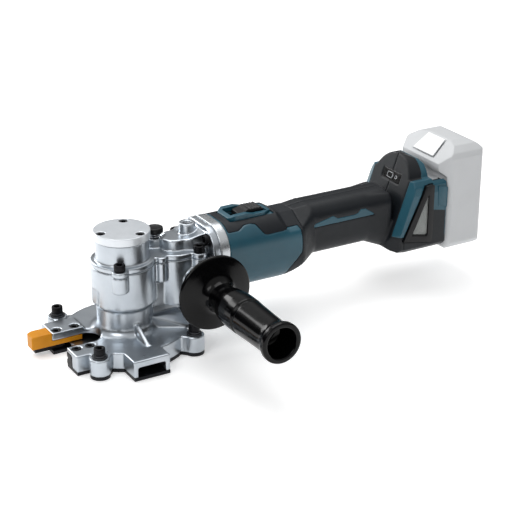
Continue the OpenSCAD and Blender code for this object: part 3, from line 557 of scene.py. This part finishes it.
# shaft-lock button: dished cap on its pin
bm = bmesh.new()
lathe_into(bm, [(0, 62.6), (1.5, 62.6), (1.8, 63.0), (1.8, 76.0), (3, 76.2), (3, 95.4), (6.9, 95.5), (7.5, 95.9), (7.6, 96.4), (7.6, 99.3), (7.35, 100.1), (6.7, 100.5), (5.6, 100.45), (4.8, 100.1), (2.5, 99.95), (0, 99.9)], 96, (36.5, 10.6, 0), Z)
o = sharp(mesh_obj("shaft_lock_button_turned", bm, M["black"]), 45)
o.data.materials.append(M["steel"])
for p_ in o.data.polygons:
    if p_.center.z < 95.42 * MM:
        p_.material_index = 1
finish_piece(o, "shaft_lock_body", "shaft_lock_button", slot=SLOT_OF["shaft_lock_button"])


# return spring of the lock button: one wound wire with closed ends
bm = bmesh.new()
turns_, r_c, r_w, z_a, z_b = 5.5, 4.3, 0.5, 84.25, 94.55
steps_ = int(turns_ * 48)
prev = None
for k in range(steps_ + 1):
    q = k / steps_
    e_ = 1.0 / turns_
    lift = 0.0 if q < e_ else (1.0 if q > 1 - e_ else (q - e_) / (1 - 2 * e_))
    lift = lift * lift * (3 - 2 * lift) * 0.25 + lift * 0.75
    zc = z_a + r_w * 1.05 * min(q / e_, 1.0) + (z_b - z_a - r_w * 2.1) * lift + r_w * 1.05 * max(0.0, (q - 1 + e_) / e_)
    t = 2 * math.pi * turns_ * q
    ring = []
    for m_ in range(10):
        th = 2 * math.pi * m_ / 10
        rr = r_c + r_w * math.cos(th)
        ring.append(bm.verts.new(((36.5 + rr * math.cos(t)) * MM, (10.6 + rr * math.sin(t)) * MM, (zc + r_w * math.sin(th)) * MM)))
    if prev:
        for m_ in range(10):
            bm.faces.new((prev[m_], prev[(m_ + 1) % 10], ring[(m_ + 1) % 10], ring[m_]))
    else:
        bm.faces.new(ring)
    prev = ring
bm.faces.new(prev[::-1])
o = mesh_obj("shaft_lock_coil", bm, M["spring"])
finish_piece(o, BODY_OF["shaft_lock_spring"], "shaft_lock_spring", slot=SLOT_OF["shaft_lock_spring"])
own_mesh(o)


# dust covers: bevelled triangular frame, woven mesh and its rim
def prism(bm, poly, y0, y1, hole=None):
    """Flat ring or plate of the outline poly (x, z), between y0 and y1."""
    def ringv(pl, y):
        return [bm.verts.new((x_ * MM, y * MM, z_ * MM)) for x_, z_ in pl]
    a0, a1 = ringv(poly, y0), ringv(poly, y1)
    n_ = len(poly)
    for k in range(n_):
        bm.faces.new((a0[k], a0[(k + 1) % n_], a1[(k + 1) % n_], a1[k]))
    if hole is None:
        bm.faces.new(a0)
        bm.faces.new(a1[::-1])
        return
    b0, b1 = ringv(hole, y0), ringv(hole, y1)
    for k in range(n_):
        k2 = (k + 1) % n_
        bm.faces.new((b0[k], b0[k2], b1[k2], b1[k]))
        bm.faces.new((a0[k], a0[k2], b0[k2], b0[k]))
        bm.faces.new((a1[k], a1[k2], b1[k2], b1[k]))


def bevelled(o, width, segs=3, angle=28):
    m_ = o.modifiers.new("bevel", "BEVEL")
    m_.width = width * MM
    m_.segments = segs
    m_.limit_method = "ANGLE"
    m_.angle_limit = math.radians(angle)
    m_.harden_normals = False
    dg = bpy.context.evaluated_depsgraph_get()
    me = bpy.data.meshes.new_from_object(o.evaluated_get(dg))
    mats = list(o.data.materials)
    o.modifiers.clear()
    o.data = me
    if not me.materials:
        for q in mats:
            me.materials.append(q)
    return o


TRI_OUT = [(270.1, 54.0), (301.6, 48.2), (302.9, 50.0), (303.0, 104.6), (302.0, 105.5), (294.6, 105.2)]
TRI_IN = [(279.2, 58.6), (295.6, 55.2), (297.2, 56.6), (297.4, 95.2), (296.9, 96.6), (296.0, 95.0)]


def tri_span(z):
    """x range of the opening at height z."""
    xs = []
    n_ = len(TRI_IN)
    for k in range(n_):
        (xa, za), (xb, zb) = TRI_IN[k], TRI_IN[(k + 1) % n_]
        if (za - z) * (zb - z) < 0:
            xs.append(xa + (xb - xa) * (z - za) / (zb - za))
    return (min(xs), max(xs)) if len(xs) >= 2 else None


def tri_span_x(x):
    zs = []
    n_ = len(TRI_IN)
    for k in range(n_):
        (xa, za), (xb, zb) = TRI_IN[k], TRI_IN[(k + 1) % n_]
        if (xa - x) * (xb - x) < 0:
            zs.append(za + (zb - za) * (x - xa) / (xb - xa))
    return (min(zs), max(zs)) if len(zs) >= 2 else None


def wire(bm, a_, b_, r, y, phase, along_x, pitch):
    """One woven wire from a_ to b_ in the plane at y, rising and falling over its neighbours."""
    n_ = max(2, int(math.hypot(b_[0] - a_[0], b_[1] - a_[1]) / pitch * 2))
    prev = None
    for k in range(n_ + 1):
        t = k / n_
        x_, z_ = a_[0] + (b_[0] - a_[0]) * t, a_[1] + (b_[1] - a_[1]) * t
        w_ = math.sin(math.pi * ((x_ if along_x else z_) / pitch + phase)) * r * 0.8
        ring = []
        for q in range(6):
            th = math.pi / 3 * q
            d1, d2 = r * math.cos(th), r * math.sin(th)
            ring.append(bm.verts.new(((x_ + (0 if along_x else d1)) * MM, (y + w_ + d2) * MM, (z_ + (d1 if along_x else 0)) * MM)))
        if prev:
            for q in range(6):
                bm.faces.new((prev[q], prev[(q + 1) % 6], ring[(q + 1) % 6], ring[q]))
        prev = ring


for side, nm in ((-1, "left"), (1, "right")):
    yo, yi = 38.5 * side, 35.8 * side
    bm = bmesh.new()
    prism(bm, TRI_OUT, yi, yo, TRI_IN)
    o = mesh_obj(f"dust_frame_{nm}", bm, M["black"])
    bevelled(o, 0.9, 4)
    sharp(o, 50)
    finish_piece(o, f"dust_cover_{nm}_body", f"dust_cover_{nm}", slot="black_plastic")
    # thin lip inside the frame
    bm = bmesh.new()
    c_ = (sum(q[0] for q in TRI_IN) / 6, sum(q[1] for q in TRI_IN) / 6)
    inner = [(x_ + (c_[0] - x_) * 0.075, z_ + (c_[1] - z_) * 0.075) for x_, z_ in TRI_IN]
    outer_l = [(x_ - (c_[0] - x_) * 0.03, z_ - (c_[1] - z_) * 0.03) for x_, z_ in TRI_IN]
    prism(bm, outer_l, 36.2 * side, 37.4 * side, inner)
    o = mesh_obj(f"dust_lip_{nm}", bm, M["black"])
    bevelled(o, 0.25, 2)
    sharp(o, 50)
    finish_piece(o, f"dust_cover_{nm}_body", slot="black_plastic")
    bm = bmesh.new()
    pitch = 0.95
    y = 36.9 * side
    z = 55.6
    i_ = 0
    while z < 96.4:
        s_ = tri_span(z)
        if s_ and s_[1] - s_[0] > 1.0:
            wire(bm, (s_[0] - 0.3, z), (s_[1] + 0.3, z), 0.2, y, i_ % 2, True, pitch)
        z += pitch
        i_ += 1
    x = 279.6
    i_ = 0
    while x < 297.3:
        s_ = tri_span_x(x)
        if s_ and s_[1] - s_[0] > 1.0:
            wire(bm, (x, s_[0] - 0.3), (x, s_[1] + 0.3), 0.2, y, i_ % 2, False, pitch)
        x += pitch
        i_ += 1
    o = mesh_obj(f"dust_mesh_{nm}", bm, M["mesh_metal"])
    finish_piece(o, f"dust_cover_{nm}_body", slot="bright_steel")
    # felt backing just behind the mesh
    bm = bmesh.new()
    prism(bm, [(x_ + (c_[0] - x_) * -0.02, z_ + (c_[1] - z_) * -0.02) for x_, z_ in TRI_IN], 35.9 * side, 36.35 * side)
    o = mesh_obj(f"dust_felt_{nm}", bm, M["mesh_felt"])
    bevelled(o, 0.1, 2)
    finish_piece(o, f"dust_cover_{nm}_body", slot="bright_steel")

# plain teal plate behind each dust cover, with a raised edge
for side, nm in ((-1, "left"), (1, "right")):
    PL = [(309.4, 102.6), (318.6, 100.6), (319.4, 99.6), (319.2, 80.6), (318.4, 79.9), (309.9, 82.1), (309.2, 83.0), (308.8, 101.8)]
    c_ = (sum(q[0] for q in PL) / 8, sum(q[1] for q in PL) / 8)
    bm = bmesh.new()
    prism(bm, PL, 36.6 * side, 37.45 * side, [(x_ + (c_[0] - x_) * 0.12, z_ + (c_[1] - z_) * 0.07) for x_, z_ in PL])
    prism(bm, [(x_ + (c_[0] - x_) * 0.11, z_ + (c_[1] - z_) * 0.065) for x_, z_ in PL], 36.6 * side, 37.2 * side)
    o = mesh_obj(f"side_plate_{nm}", bm, M["teal"])
    bevelled(o, 0.2, 3)
    sharp(o, 40)
    finish_piece(o, "root", slot="teal_plastic")

# battery icon and test-button ring on the indicator
tl = math.radians(20.1)
IC = Vector((280.3, 0, 107.0))
EX, EZ = Vector((math.cos(tl), 0, -math.sin(tl))), Vector((math.sin(tl), 0, math.cos(tl)))


def on_panel(y, zz, out):
    q = IC + EZ * zz + EX * (0.42 - out)
    return Vector((q.x, y, q.z)) * MM


def strip(bm, pts, wd, out0=-0.15, out1=0.09, closed=True):
    """A thin raised line through pts (y, z) on the indicator's face."""
    n_ = len(pts)
    secs = []
    for k in range(n_):
        a_, b_ = Vector(pts[(k - 1) % n_]), Vector(pts[(k + 1) % n_])
        t = (b_ - a_).normalized()
        nrm = Vector((-t.y, t.x))
        q = Vector(pts[k])
        secs.append([on_panel(*(q + nrm * wd / 2), out0), on_panel(*(q + nrm * wd / 2), out1), on_panel(*(q - nrm * wd / 2), out1), on_panel(*(q - nrm * wd / 2), out0)])
    vs = [[bm.verts.new(c) for c in s_] for s_ in secs]
    for k in range(n_ if closed else n_ - 1):
        a_, b_ = vs[k], vs[(k + 1) % n_]
        for q in range(4):
            bm.faces.new((a_[q], a_[(q + 1) % 4], b_[(q + 1) % 4], b_[q]))


def rounded(cx_, cz_, hw, hh, r, n_=5):
    out = []
    for sx_, sz_, a0 in ((1, 1, 0), (-1, 1, 90), (-1, -1, 180), (1, -1, 270)):
        for k in range(n_ + 1):
            t = math.radians(a0 + 90 * k / n_)
            out.append((cx_ + sx_ * (hw - r) + r * math.cos(t), cz_ + sz_ * (hh - r) + r * math.sin(t)))
    return out


bm = bmesh.new()
strip(bm, rounded(2.6, 0.0, 3.9, 2.5, 0.4), 0.34)
strip(bm, [(-1.3, -1.0), (-2.1, -1.0), (-2.1, 1.0), (-1.3, 1.0)], 0.34, closed=False)
strip(bm, [(-6.9 + 1.45 * math.cos(t * math.pi / 12), 1.45 * math.sin(t * math.pi / 12)) for t in range(24)], 0.34)
o = mesh_obj("indicator_icon", bm, M["mark"])
finish_piece(o, "root", slot="pack_button")

# threads cut in the two free holes and the pitch lines of the boss
def thread(name, r, pitch, z0, z1, origin, axis, mat, body="root"):
    bm = bmesh.new()
    ax = Vector(axis)
    side = Vector((0, 0, 1)) if abs(ax.z) < 0.9 else Vector((1, 0, 0))
    u = ax.cross(side).normalized()
    w_ = ax.cross(u).normalized()
    turns = (z1 - z0) / pitch
    n_ = int(turns * 40)
    prev = None
    for k in range(n_ + 1):
        t = 2 * math.pi * k / 40
        h = z0 + (z1 - z0) * k / n_
        d = u * math.cos(t) + w_ * math.sin(t)
        ring = [bm.verts.new((Vector(origin) + ax * (h + dh) + d * rr) * MM) for rr, dh in ((r + 0.25, -pitch * 0.42), (r + 0.25, pitch * 0.42), (r - 0.42, 0.0))]
        if prev:
            for q in range(3):
                bm.faces.new((prev[q], prev[(q + 1) % 3], ring[(q + 1) % 3], ring[q]))
        prev = ring
    o = sharp(mesh_obj(name, bm, M[mat]), 30)
    return finish_piece(o, body, slot="bright_steel")


thread("top_boss_thread", 3.4, 1.25, 95.5, 102.4, (63, 0, 0), Z, "steel")
thread("side_boss_thread", 3.4, 1.25, 25.5, 36.8, (59.5, 0, 58.5), (0, 1, 0), "steel")
